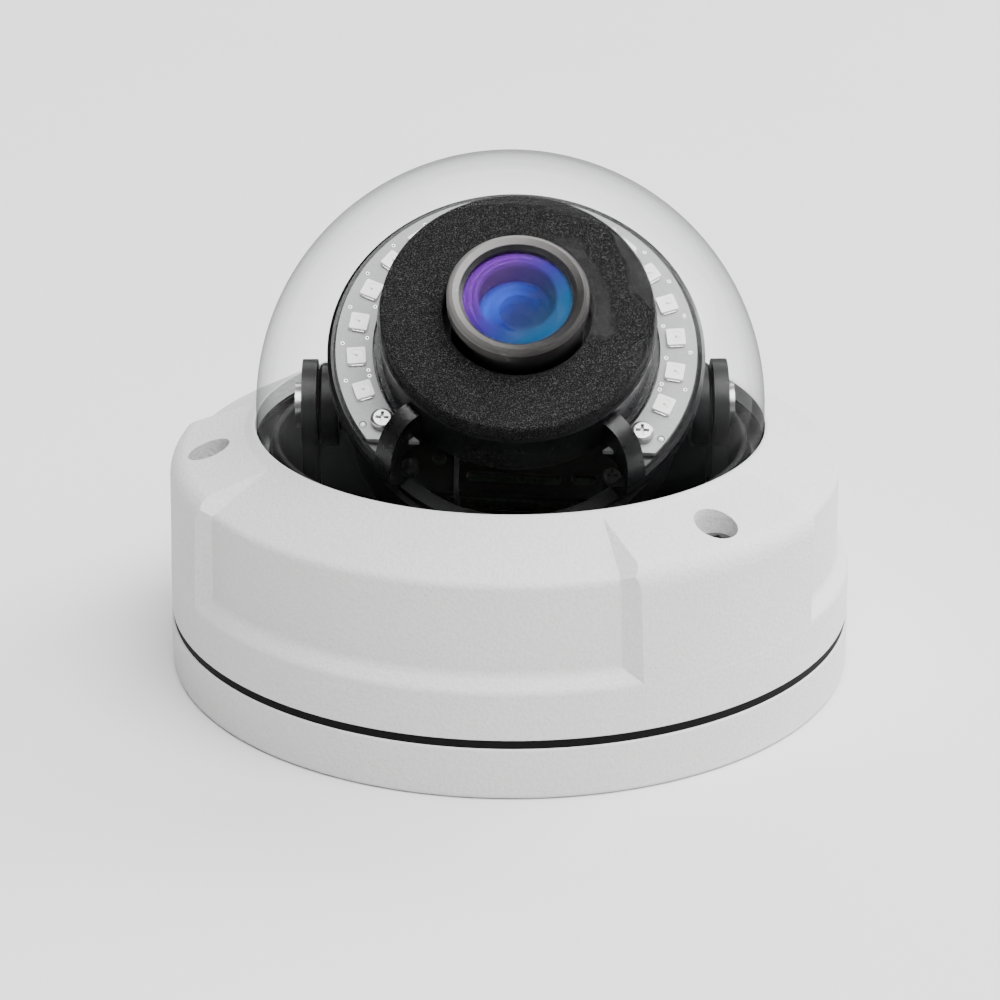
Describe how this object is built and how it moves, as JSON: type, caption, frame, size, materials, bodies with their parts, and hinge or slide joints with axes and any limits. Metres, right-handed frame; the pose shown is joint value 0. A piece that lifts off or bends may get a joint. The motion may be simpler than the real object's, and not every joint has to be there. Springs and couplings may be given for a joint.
{
  "type": "dome security camera",
  "caption": "Ceiling dome camera: round white housing, clear bubble, and a pan-tilt-roll head with a zoom lens and a ring of infrared lamps.",
  "frame": {"origin": "centre of the base's mounting face", "axes": "+Z from the mounting face towards the bubble, the lens looks towards -Y at rest"},
  "size_m": [0.14, 0.14, 0.1043],
  "materials": {
    "white_housing": "die-cast, under a fine textured powder coat",
    "black_rubber": "matt",
    "foam": "grainy closed-cell foam",
    "clear_dome": "clear polycarbonate",
    "lens_glass": "coated",
    "black_moulded": "satin",
    "black_gloss": "semi-gloss",
    "liner_black": "satin",
    "lens_black": "black anodised",
    "bezel": "fine turned",
    "circuit_board": "pale solder mask",
    "green_board": "solder mask",
    "chip": "moulded",
    "connector": "nylon",
    "led_body": "white ceramic",
    "led_resin": "silicone",
    "zinc": "zinc plated",
    "dark_steel": "stainless",
    "brass_spacer": "bright",
    "lever_metal": "black nickel",
    "wire": "insulation",
    "washer": "nylon"
  },
  "bodies": {
    "base": {"base_housing": "white_housing", "base_seal": "black_rubber", "cable_grommet": "black_rubber", "main_board": "green_board", "board_screws": "zinc", "board_connectors": "connector", "board_chips": "chip", "pan_base": "black_moulded", "pan_base_screws": "zinc", "pan_washer": "washer", "pan_retainer": "black_moulded"},
    "cover": {"cover": "white_housing", "cover_screws": "dark_steel", "dome": "clear_dome", "dome_seal": "black_rubber", "clamp_ring": "zinc", "clamp_screws": "zinc", "inner_liner": "liner_black"},
    "yoke": {"pan_platform": "black_moulded", "yoke_arm_left": "black_moulded", "yoke_arm_right": "black_moulded", "arm_screws": "zinc"},
    "tilt_frame": {"tilt_ring": "black_moulded", "tilt_hub_left": "black_moulded", "tilt_hub_right": "black_moulded", "tilt_washers": "black_rubber", "tilt_screws": "zinc"},
    "head": {"head_rear_shell": "black_moulded", "roll_retainer": "black_moulded", "head_front_shell": "black_gloss", "led_board": "circuit_board", "infrared_leds": "led_body", "led_lenses": "led_resin", "led_board_screws": "zinc", "lens_shroud": "black_gloss", "foam_ring": "foam", "module_plate": "lens_black", "plate_screws": "zinc", "lens_mount": "black_moulded", "sensor_board": "green_board", "image_sensor": "chip", "infrared_filter": "lens_glass", "processor_board": "green_board", "board_spacers": "brass_spacer", "lens_wire": "wire", "lens_body": "lens_black", "rear_element": "lens_glass", "lens_snap_ring": "lens_black"},
    "zoom_control": {"zoom_ring": "lens_black", "zoom_lever": "lever_metal"},
    "focus_control": {"focus_ring": "lens_black", "focus_lever": "lever_metal"},
    "front_group": {"front_barrel": "lens_black", "bezel_ring": "bezel", "element_lock_ring": "lens_black", "front_element": "lens_glass", "second_element": "lens_glass", "iris_ring": "lens_black"}
  },
  "joints": [
    {"name": "cover_lift", "type": "slide", "parent": "base", "child": "cover", "axis": [0, 0, 1], "range_m": [0, 0.075]},
    {"name": "pan", "type": "hinge", "parent": "base", "child": "yoke", "pos_m": [0.0009, 0, 0.0139], "axis": [0, 0, 1], "range_deg": [-175, 175]},
    {"name": "tilt", "type": "hinge", "parent": "yoke", "child": "tilt_frame", "pos_m": [0.0009, 0, 0.0529], "axis": [0.9998, 0.0175, 0], "range_deg": [-39.5, 34]},
    {"name": "roll", "type": "hinge", "parent": "tilt_frame", "child": "head", "pos_m": [0.0009, 0, 0.0529], "axis": [0.0112, -0.64, 0.7683], "range_deg": [-90, 90]},
    {"name": "zoom", "type": "hinge", "parent": "head", "child": "zoom_control", "pos_m": [0.0009, 0, 0.0529], "axis": [0.0112, -0.64, 0.7683], "range_deg": [-60, 0]},
    {"name": "focus", "type": "hinge", "parent": "head", "child": "focus_control", "pos_m": [0.0009, 0, 0.0529], "axis": [0.0112, -0.64, 0.7683], "range_deg": [0, 62]},
    {"name": "front_travel", "type": "slide", "parent": "head", "child": "front_group", "axis": [0.0112, -0.64, 0.7683], "range_m": [0, 0.0012]}
  ],
  "couplings": [
    {"joint": "focus", "follows": "front_travel", "rad_per_m": 872.6}
  ]
}
